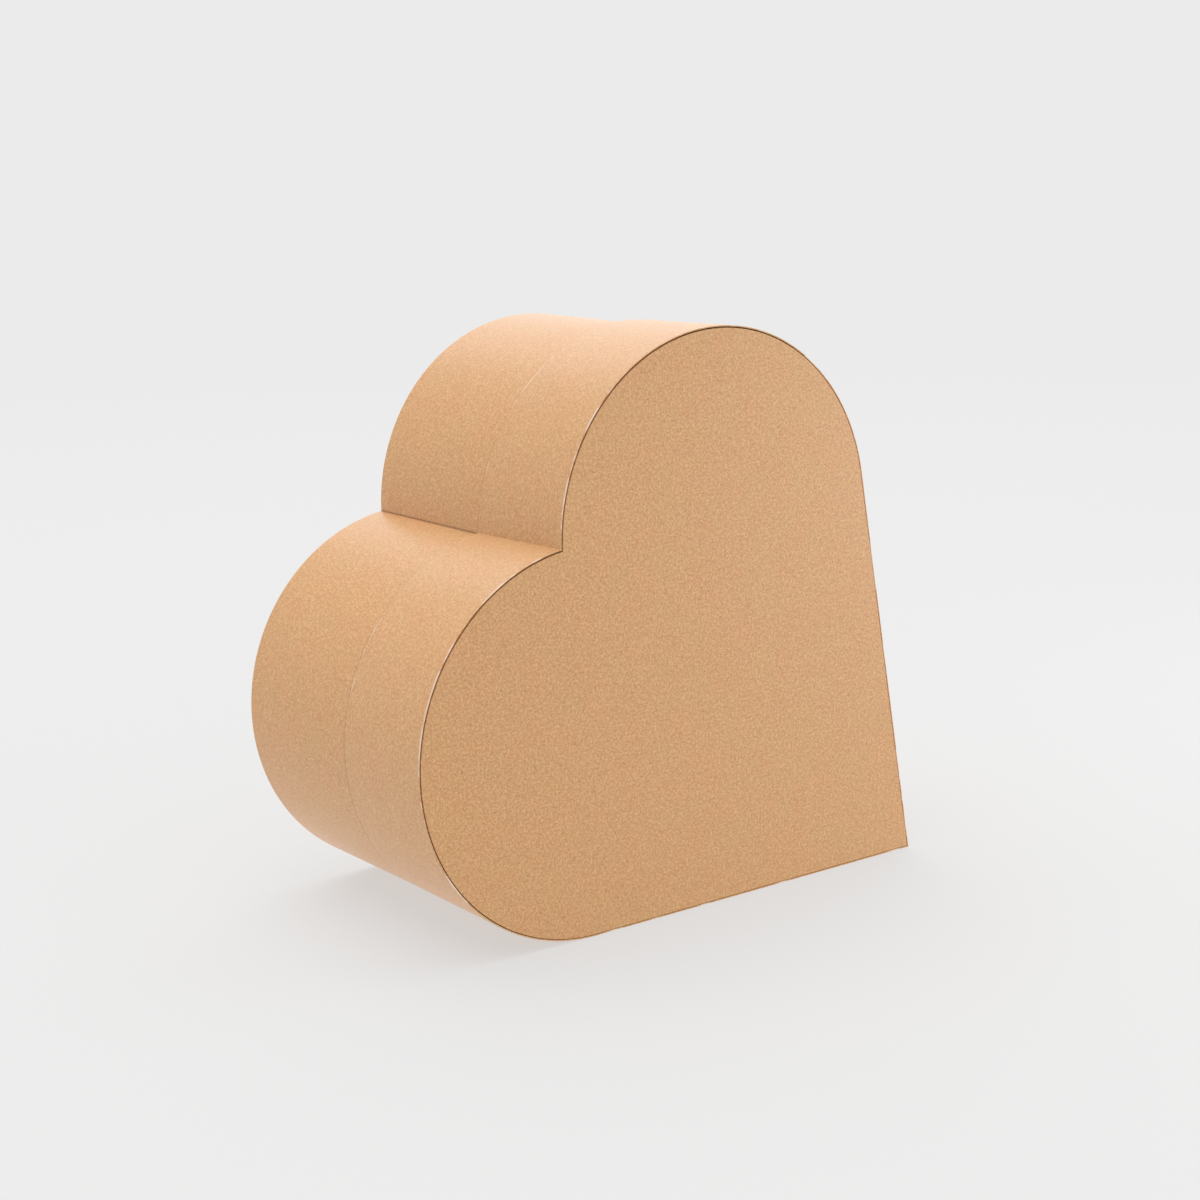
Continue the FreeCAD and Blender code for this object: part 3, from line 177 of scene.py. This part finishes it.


# %% [markdown]
# ## Kraft card
#
# The card is unbleached pulp pressed into a sheet. It has three scales of variety: faint clouds a few
# millimetres wide where the pulp lies thicker and a little redder, a fine mottle of fibre ends, and scattered
# dark specks of bark. Noise on Object coordinates gives all three without a seam at any fold. Light falls
# softly on it, and there is a weak pale sheen at a low angle, from loose fibres. Three more marks are painted
# into the colour: a rim is rubbed pale in patches, and the same pale is a painted highlight along the lid's
# edge; a band of painted shade lies beside the seam; and a thin dark line of painted shade lies in a fold.

# %% Kraft card
KRAFT = (0.515, 0.274, 0.103)
KRAFT_RED = (0.532, 0.262, 0.101)
KRAFT_PALE = (0.690, 0.400, 0.195)
KRAFT_DARK = (0.270, 0.125, 0.052)
# Pale of rubbed paper; on the lid it is also a painted highlight along the edge.
PALE_WEAR_AND_HIGHLIGHT = (0.840, 0.640, 0.500)


def kraft_card(name, wear_and_highlight=(), shaded=(), crease_shade=None):
    """Kraft card. The two lists after the name give places in Y, each with how far its mark reaches: the
    first holds pale rubbed patches, which are wear at the front rim and a painted highlight along the lid's
    edge, the second a band of painted shade beside the seam. The last argument is a point and a direction
    along which the sheet is folded inwards, and a thin dark line of painted shade is drawn along it."""
    finish = Finish(name)
    cloud = finish.noise(150, detail=3)
    mottle = finish.noise(1900, detail=3)
    bark = finish.noise(2100, detail=1)
    fibre = finish.noise(500, detail=2, stretch=(1, 1, 3.5))
    colour = finish.mix(cloud.between(0.38, 0.62), KRAFT, KRAFT_RED)
    colour = finish.mix((mottle - 0.5) * 3.3 + 0.30, colour, KRAFT_PALE)
    colour = finish.mix(bark.between(0.62, 0.76) * 0.50, colour, KRAFT_DARK)
    colour = finish.mix(fibre.between(0.62, 0.75) * 0.15, colour, KRAFT_PALE)
    across = finish.node("ShaderNodeSeparateXYZ", None, {"Vector": finish.place})["Y"]
    # Painted shade: a darker band beside the seam where lid and base meet.
    for y, reach in shaded:
        near = (across - y).math("ABSOLUTE", across - y).between(reach, 0)
        colour = finish.mix(near * 0.35, colour, KRAFT_DARK)
    # Pale patches: wear at the front rim, and a painted highlight along the lid's edge.
    for y, reach in wear_and_highlight:
        near = (across - y).math("ABSOLUTE", across - y).between(reach, 0)
        patches = finish.noise(120, detail=3).between(0.50, 0.62)
        colour = finish.mix(near * patches * 0.8, colour, PALE_WEAR_AND_HIGHLIGHT)
    # Painted shade: a thin dark line in the fold between the lobes.
    if crease_shade:
        point, along = crease_shade
        away = finish.vector("SUBTRACT", finish.place, tuple(point))["Vector"]
        away = finish.vector("CROSS_PRODUCT", away, tuple(along))["Vector"]
        gap = finish.vector("LENGTH", away)["Value"]
        colour = finish.mix(gap.between(0.50 * MM, 0.10 * MM) * 0.75, colour, KRAFT_DARK)
    finish.bump(mottle * 0.7 + cloud * 0.3, 0.06 * MM, 0.5)
    finish.set(Base_Color=colour, Roughness=0.34 + mottle * 0.10)
    finish.set(Specular_IOR_Level=0.5, Sheen_Weight=0.12, Sheen_Roughness=0.30)
    return finish.material


kraft = kraft_card("card_kraft")
print("made", kraft.name)

# %% [markdown]
# ## The outline of the heart
#
# Every card piece follows one outline: two straight sides that meet at the point, an arc for each lobe, and a
# flatter flank that runs into the notch. The two halves mirror each other, so only one is grown: a vertex at
# the point is extruded along the straight side and then spun round the centres of the two arcs. Its mirror
# image closes the ring.

# %% Heart outline
SIDE = 100 * MM
TIP_X = SIDE / 2
HALF_POINT = math.radians(40)
LOBE_SWEEP = math.radians(100)
LOBE_STEPS, FLANK_STEPS = 40, 28
MIDDLE = 0.75 * SIDE
MERGE = 0.001 * MM
SMOOTH_BELOW = math.radians(12)
AXIS = Vector((-math.cos(HALF_POINT), 0, math.sin(HALF_POINT)))
ACROSS = Vector((AXIS.z, 0, -AXIS.x))
FLIP = Matrix.Identity(3) - 2 * Matrix([[a * b for b in ACROSS] for a in ACROSS])


def corners(edges):
    """The vertices of some edges, each of them once, always in the same order."""
    return list(dict.fromkeys(v for e in edges for v in e.verts))


def heart_ring(mesh, y, inset, lobe, flank):
    """Closed ring of edges at depth y, in order; inset moves the straight sides in, the rest are radii."""
    known = set(mesh.edges)
    tip = Vector((TIP_X - inset / math.tan(HALF_POINT), y, inset))
    foot = Vector((TIP_X - SIDE, y, inset))
    lobe_centre = foot + Vector((0, 0, lobe))
    arm = Vector((-math.sin(LOBE_SWEEP), 0, -math.cos(LOBE_SWEEP)))
    flank_centre = lobe_centre + arm * (lobe - flank)
    reach = (flank_centre - tip).dot(AXIS)
    beside = (flank_centre - tip - AXIS * reach).length
    notch = tip + AXIS * (reach + math.sqrt(flank ** 2 - beside ** 2))

    start = bmesh.ops.create_vert(mesh, co=tip)["vert"][0]
    end = bmesh.ops.extrude_vert_indiv(mesh, verts=[start])["verts"][0]
    end.co = foot
    for centre, angle, steps in ((lobe_centre, LOBE_SWEEP, LOBE_STEPS),
                                 (flank_centre, arm.angle(notch - flank_centre), FLANK_STEPS)):
        spun = bmesh.ops.spin(mesh, geom=[end], cent=centre, axis=(0, 1, 0), angle=angle, steps=steps)
        end = next(v for v in spun["geom_last"] if isinstance(v, bmesh.types.BMVert))
    half = [e for e in mesh.edges if e not in known]
    copy = bmesh.ops.duplicate(mesh, geom=half + corners(half))["geom"]
    turned = [v for v in copy if isinstance(v, bmesh.types.BMVert)]
    space = Matrix.Translation(-tip)
    bmesh.ops.transform(mesh, matrix=FLIP.to_4x4(), space=space, verts=turned)
    ring = [e for e in mesh.edges if e not in known]
    bmesh.ops.remove_doubles(mesh, verts=corners(ring), dist=MERGE)
    middle = Vector((TIP_X, y, 0)) + AXIS * MIDDLE

    def turn(edge):
        """Angle of an edge round the middle of the heart, from one side of the point to the other."""
        out = (edge.verts[0].co + edge.verts[1].co) / 2 - middle
        return math.atan2(out.dot(ACROSS), out.dot(AXIS))

    return sorted([e for e in mesh.edges if e not in known], key=turn)


def finished(mesh, name, body, material, slot, *stands_for):
    """Turns a bmesh into a piece that rides on a body and stands for parts of the frame."""
    bmesh.ops.recalc_face_normals(mesh, faces=mesh.faces)
    for face in mesh.faces:
        face.smooth = True
    for edge in mesh.edges:
        edge.smooth = edge.is_manifold and edge.calc_face_angle() < SMOOTH_BELOW
    data = bpy.data.meshes.new(name)
    mesh.to_mesh(data)
    mesh.free()
    data.materials.append(material)
    piece = bpy.data.objects.new(name, data)
    bpy.context.scene.collection.objects.link(piece)
    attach(piece, body)
    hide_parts(*stands_for)
    print(name, len(data.polygons), "faces")
    return piece


# %% [markdown]
# ## Lid and base walls
#
# Each wall is a strip of card bent round the outline. Where lid and base meet, the lobes are drawn in
# slightly and the notch is pushed out, so a wall is bridged from ring to ring: outside, edge, inside and a
# rebate that the front board drops into. The card's corners are never sharp, so the rims, the fold at the
# point and the edge that meets the other half get small bevels. The lid's wall runs straight over the top of
# the upper lobe where the base dips, so the lid's back edge is raised there by a lift that grows with height.

# %% Walls
FRONT, BACK = (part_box("lid_panel")[0].y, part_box("base_panel")[1].y)
LID_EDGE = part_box("lid_wall")[1].y
BASE_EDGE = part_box("base_wall")[0].y
FACE_LOBE = 45.3 * MM
WAIST_LOBE, WAIST_FLANK = 44.2 * MM, 47 * MM
STEP = 0.35 * MM
CARD = 0.8 * MM
RIM = 0.28 * MM
REBATE = 1.35 * MM
CROWN = 0.9 * MM
CROWN_FROM = 100 * MM
EDGE_BEVEL, FOLD_BEVEL = 0.09 * MM, 0.3 * MM
LEDGE_SLOPE = 0.3 * MM
RUBBED_REACH = 0.45 * MM
# A pale line just behind the lid's edge, a painted highlight.
HIGHLIGHT_LINE, HIGHLIGHT_REACH = LID_EDGE - 0.2 * MM, 0.25 * MM
# How far the band of painted shade reaches beside the seam.
SEAM_SHADE_REACH = 1.6 * MM
ON_POINT = 0.02 * MM


def bevel(mesh, edges, offset, segments):
    bmesh.ops.bevel(mesh, geom=edges, offset=offset, offset_type="OFFSET", affect="EDGES",
                    segments=segments, profile=0.5, material=-1)


def card_wall(profile):
    """Rings of (y, inset, lobe, flank) joined edge to edge, one to the next and back to the first."""
    mesh = bmesh.new()
    made = [heart_ring(mesh, *ring) for ring in profile]
    for first, second in zip(made, made[1:] + made[:1]):
        for pair in zip(first, second):
            bmesh.ops.contextual_create(mesh, geom=pair)
    return mesh, made


def soften(mesh, rings, fold):
    """Small bevels on the rims, and a rounder one on the fold at the point of the heart."""
    bevel(mesh, rings, EDGE_BEVEL, 2)
    point = Vector((TIP_X, 0, 0))
    folds = [e for e in mesh.edges if e.calc_length() > 0.5 * fold
             and all((v.co.xz - point.xz).length < ON_POINT for v in e.verts)]
    bevel(mesh, folds, FOLD_BEVEL, 3)


def notch(ring):
    """Where a ring turns inwards between the lobes."""
    point = Vector((TIP_X, 0, 0))
    far = [v for v in corners(ring) if (v.co - point).dot(AXIS) > SIDE / 2]
    return min(far, key=lambda v: abs((v.co - point).dot(ACROSS))).co.copy()


# The front rim is rubbed pale in patches, and a painted highlight runs along the lid's edge.
lid_wall_kraft = kraft_card("card_kraft_lid", wear_and_highlight=[(FRONT, RUBBED_REACH), (HIGHLIGHT_LINE, HIGHLIGHT_REACH)])
lid, rings = card_wall([(FRONT, 0, FACE_LOBE, FACE_LOBE),
                        (LID_EDGE, 0, WAIST_LOBE, WAIST_FLANK),
                        (LID_EDGE, CARD, WAIST_LOBE - CARD, WAIST_FLANK - CARD),
                        (FRONT + REBATE + LEDGE_SLOPE, CARD, FACE_LOBE - CARD, FACE_LOBE - CARD),
                        (FRONT + REBATE, RIM, FACE_LOBE - RIM, FACE_LOBE - RIM),
                        (FRONT, RIM, FACE_LOBE - RIM, FACE_LOBE - RIM)])
crown_verts = [v for v in corners(rings[1] + rings[2]) if v.co.z > CROWN_FROM]
crown_top = max(v.co.z for v in crown_verts)
for vert in crown_verts:
    vert.co.z += CROWN * ((vert.co.z - CROWN_FROM) / (crown_top - CROWN_FROM)) ** 2
soften(lid, rings[0] + rings[1] + rings[2] + rings[5], LID_EDGE - FRONT)
finished(lid, "card_lid_wall", "lid", lid_wall_kraft, "kraft_card", "lid_wall")

base, rings = card_wall([(BASE_EDGE, 0, WAIST_LOBE - STEP, WAIST_FLANK - STEP),
                         (BACK, 0, FACE_LOBE, FACE_LOBE),
                         (BACK, CARD, FACE_LOBE - CARD, FACE_LOBE - CARD),
                         (BASE_EDGE, CARD, WAIST_LOBE - STEP - CARD, WAIST_FLANK - STEP - CARD)])
edge_notch, back_notch = notch(rings[0]), notch(rings[1])
# Beside the seam the base wall gets a band of painted shade, and at the notch a thin dark line of painted
# shade in the fold.
base_wall_kraft = kraft_card("card_kraft_base", shaded=[(BASE_EDGE, SEAM_SHADE_REACH)],
                             crease_shade=(edge_notch, (back_notch - edge_notch).normalized()))
soften(base, rings[0] + rings[1] + rings[2], BACK - BASE_EDGE)
finished(base, "card_base_wall", "case", base_wall_kraft, "kraft_card", "base_wall")

# %% [markdown]
# ## Front board
#
# The front is a flat heart cut from thicker board and dropped into the rebate, flush with the rim. It was cut
# a touch small and sits hard against the right-hand side, so the joint shows as a thin dark line along the
# lobes and nearly closes along the two straight sides. The board is one face, given its thickness and then a
# slight bevel where the knife pressed the edge down.

# %% Front board
JOINT = 0.20 * MM
SUNK = 0.02 * MM
PRESSED = 0.12 * MM
BEHIND = 0.1 * MM
DRIFT = Vector((0.12, 0, -0.10)) * MM

front = bmesh.new()
INSET = RIM + JOINT
ring = heart_ring(front, FRONT + SUNK, INSET, FACE_LOBE - INSET, FACE_LOBE - INSET)
outline = bmesh.ops.contextual_create(front, geom=ring)["faces"]
grown = bmesh.ops.extrude_face_region(front, geom=outline, use_keep_orig=True)["geom"]
bmesh.ops.translate(front, vec=(0, REBATE - BEHIND, 0),
                    verts=[v for v in grown if isinstance(v, bmesh.types.BMVert)])
bmesh.ops.translate(front, vec=DRIFT, verts=front.verts)
bevel(front, [e for e in front.edges if all(v.co.y < FRONT + 2 * SUNK for v in e.verts)], PRESSED, 3)
finished(front, "card_front_board", "lid", kraft, "kraft_card", "lid_panel")

# %% [markdown]
# ## Metals and plastics of the movement
#
# Each metal part keeps the marks of how it was made. A turned part has fine rings round its axis and a
# rolled sheet has straight lines, so both are the same noise, packed tight along one axis and drawn out along
# the others. The marks change the roughness and raise a shallow bump.


# %% Metals and plastics
def metal(name, colour, roughness, marks, depth=0.004 * MM, tarnish=(0.6, 0.6, 0.6)):
    """A metal whose tool marks repeat along the axes where marks is large."""
    finish = Finish(name)
    line = finish.noise(60, detail=4, stretch=marks)
    cloud = finish.noise(170, detail=3)
    shade = tuple(c * t for c, t in zip(colour, tarnish))
    finish.set(Base_Color=finish.mix(cloud.between(0.4, 0.8) * 0.5, colour, shade), Metallic=1)
    finish.set(Roughness=(line - 0.5) * 0.25 + cloud * 0.12 + (roughness - 0.06))
    finish.bump(line, depth, 0.6)
    return finish.material


def plastic(name, colour, roughness):
    """Moulded plastic with a faint orange-peel surface."""
    finish = Finish(name)
    skin = finish.noise(900, detail=2)
    flow = finish.noise(110, detail=2)
    deep = tuple(c * 0.93 for c in colour)
    finish.set(Base_Color=finish.mix(flow, colour, deep), Roughness=roughness + skin * 0.12)
    finish.bump(skin, 0.01 * MM, 0.4)
    return finish.material


def board(name, colour, fleck, scale):
    """Pressed board: fibres and flecks of a second colour."""
    finish = Finish(name)
    fibre = finish.noise(scale, detail=4, stretch=(1, 1, 2.5))
    speck = finish.noise(scale * 1.7, detail=2)
    tone = finish.mix(fibre.between(0.3, 0.7), colour, tuple(c * 0.8 for c in colour))
    finish.set(Base_Color=finish.mix(speck.between(0.6, 0.72) * 0.7, tone, fleck))
    finish.set(Roughness=0.78 + fibre * 0.12)
    finish.bump(fibre * 0.6 + speck * 0.4, 0.08 * MM, 0.6)
    return finish.material


BRASS = (0.84, 0.60, 0.28)
STEEL = (0.60, 0.61, 0.63)
finishes = {
    kraft: ["lid_wall", "lid_panel", "base_wall", "base_panel"],
    board("grey_card", (0.40, 0.31, 0.23), (0.20, 0.15, 0.11), 700): ["base_neck"],
    board("fibreboard", (0.30, 0.18, 0.10), (0.16, 0.09, 0.05), 500): ["mounting_board"],
    metal("brass_turned_along_y", BRASS, 0.26, (1, 40, 1)):
        ["spring_barrel", "barrel_cover", "key_eyelet", "governor_worm"],
    metal("brass_turned_along_x", BRASS, 0.24, (40, 1, 1)):
        ["cylinder_drum", "drive_pinion", "governor_pinion", "worm_wheel"],
    metal("brass_sheet", (0.80, 0.58, 0.28), 0.34, (1, 1, 30)):
        ["barrel_bridge", "governor_frame", "end_bracket"],
    metal("plated_steel", (0.72, 0.72, 0.73), 0.25, (8, 8, 8)):
        ["fixing_screws", "fixing_washers", "bridge_screws", "comb_screws", "frame_screws"],
    metal("turned_steel_along_y", STEEL, 0.28, (1, 40, 1)): ["winding_arbor", "clutch_spring"],
    metal("turned_steel_along_x", STEEL, 0.28, (40, 1, 1)):
        ["cylinder_axle", "governor_axle", "cylinder_pins"],
    metal("blued_spring", (0.16, 0.19, 0.28), 0.30, (1, 30, 1)): ["mainspring"],
    metal("comb_steel", (0.52, 0.53, 0.55), 0.30, (1, 1, 26), 0.006 * MM): ["comb"],
    metal("die_casting", (0.52, 0.52, 0.51), 0.48, (6, 6, 6), 0.03 * MM):
        ["bedplate", "comb_base"],
    metal("tuning_lead", (0.22, 0.23, 0.25), 0.55, (5, 5, 5), 0.02 * MM): ["comb_weights"],
    plastic("white_plastic", (0.80, 0.78, 0.71), 0.38):
        ["cylinder_caps", "cylinder_gear", "governor_fan"],
    metal("key_plating", (0.80, 0.58, 0.28), 0.30, (1, 30, 1)): ["key_shank", "key_wings"],
}
for material, names in finishes.items():
    for node_name in names:
        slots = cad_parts[node_name].data.materials
        slots.clear()
        slots.append(material)
        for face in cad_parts[node_name].data.polygons:
            face.material_index = 0
bare = sorted(set(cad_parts) - {name for names in finishes.values() for name in names})
print("parts still without a finish:", bare)

# %% [markdown]
# ## Table and light
#
# A plain pale table fades away with distance, so no horizon cuts across the picture. The fade is a mix
# of the table's shader with a clear one, and it follows the distance from the middle of the table. A pale
# even sky fills every shadow. One broad lamp overhead makes the tops of the lobes brightest, one behind gives
# them a pale gloss, and one under the table, which casts no shadow, is the light that a white sweep of paper
# throws back up. A small panel beside the point of the heart shades the front board from side to side.

# %% Table and light
TABLE_RADIUS = 2.5
TABLE_GREY, TABLE_GLOW, SKY_GREY = 0.22, 0.53, 0.831
FADE_FROM, FADE_TO = 0.45, 1.6
PANEL_SIZE, PANEL_POWER = 0.3, 0.70
PANEL_STAND, PANEL_TARGET = Vector((0.36, -0.20, 0.02)), Vector((0.03, FRONT, 0.03))

table_mesh = bmesh.new()
bmesh.ops.create_circle(table_mesh, cap_ends=True, radius=TABLE_RADIUS, segments=96)
table_data = bpy.data.meshes.new("table")
table_mesh.to_mesh(table_data)
table_mesh.free()
table = bpy.data.objects.new("table", table_data)
bpy.context.scene.collection.objects.link(table)
table.visible_shadow = False

paper = Finish("table_paper")
paper.set(Base_Color=(TABLE_GREY, TABLE_GREY, TABLE_GREY), Roughness=0.95, Specular_IOR_Level=0.0)
# The table glows as well: this glow is painted light, which fills the box's shadow on the table and lights
# the box from below.
paper.set(Emission_Color=(1.0, 1.0, 1.0), Emission_Strength=TABLE_GLOW)
far = paper.vector("LENGTH", paper.place)["Value"]
clear = paper.node("ShaderNodeBsdfTransparent")["BSDF"]
blend = paper.tree.nodes.new("ShaderNodeMixShader")
paper.feed(blend.inputs[0], far.between(FADE_FROM, FADE_TO))
paper.tree.links.new(paper.shader.outputs[0], blend.inputs[1])
paper.feed(blend.inputs[2], clear)
paper.tree.links.new(blend.outputs[0], paper.tree.nodes["Material Output"].inputs["Surface"])
table_data.materials.append(paper.material)

sky = bpy.data.worlds.new("sky")
sky.use_nodes = True
sky.node_tree.nodes["Background"].inputs["Color"].default_value = (SKY_GREY, SKY_GREY, SKY_GREY, 1)
bpy.context.scene.world = sky


def hang(name, data, matrix):
    lamp = bpy.data.objects.new(name, data)
    lamp.matrix_world = matrix
    lamp.visible_camera = False
    bpy.context.scene.collection.objects.link(lamp)
    print(name, data.energy)


def soft_lamp(name, strength, spread, tilt_x, turn_z):
    """A very broad lamp far away: spread is the width of its glow, the tilts say where it stands."""
    data = bpy.data.lights.new(name, "SUN")
    data.energy = strength
    data.angle = math.radians(spread)
    hang(name, data, Matrix.Rotation(math.radians(turn_z), 4, "Z")
         @ Matrix.Rotation(math.radians(tilt_x), 4, "X"))


soft_lamp("overhead", 1.60, 60, 12, 240)
soft_lamp("behind", 0.70, 60, 55, 142)
soft_lamp("table_bounce", 1.6, 80, 172, 100)

side_panel = bpy.data.lights.new("side_panel", "AREA")
side_panel.size = PANEL_SIZE
side_panel.energy = PANEL_POWER
aim = PANEL_STAND - PANEL_TARGET
hang("side_panel", side_panel,
     Matrix.Translation(PANEL_STAND) @ aim.to_track_quat("Z", "Y").to_matrix().to_4x4())
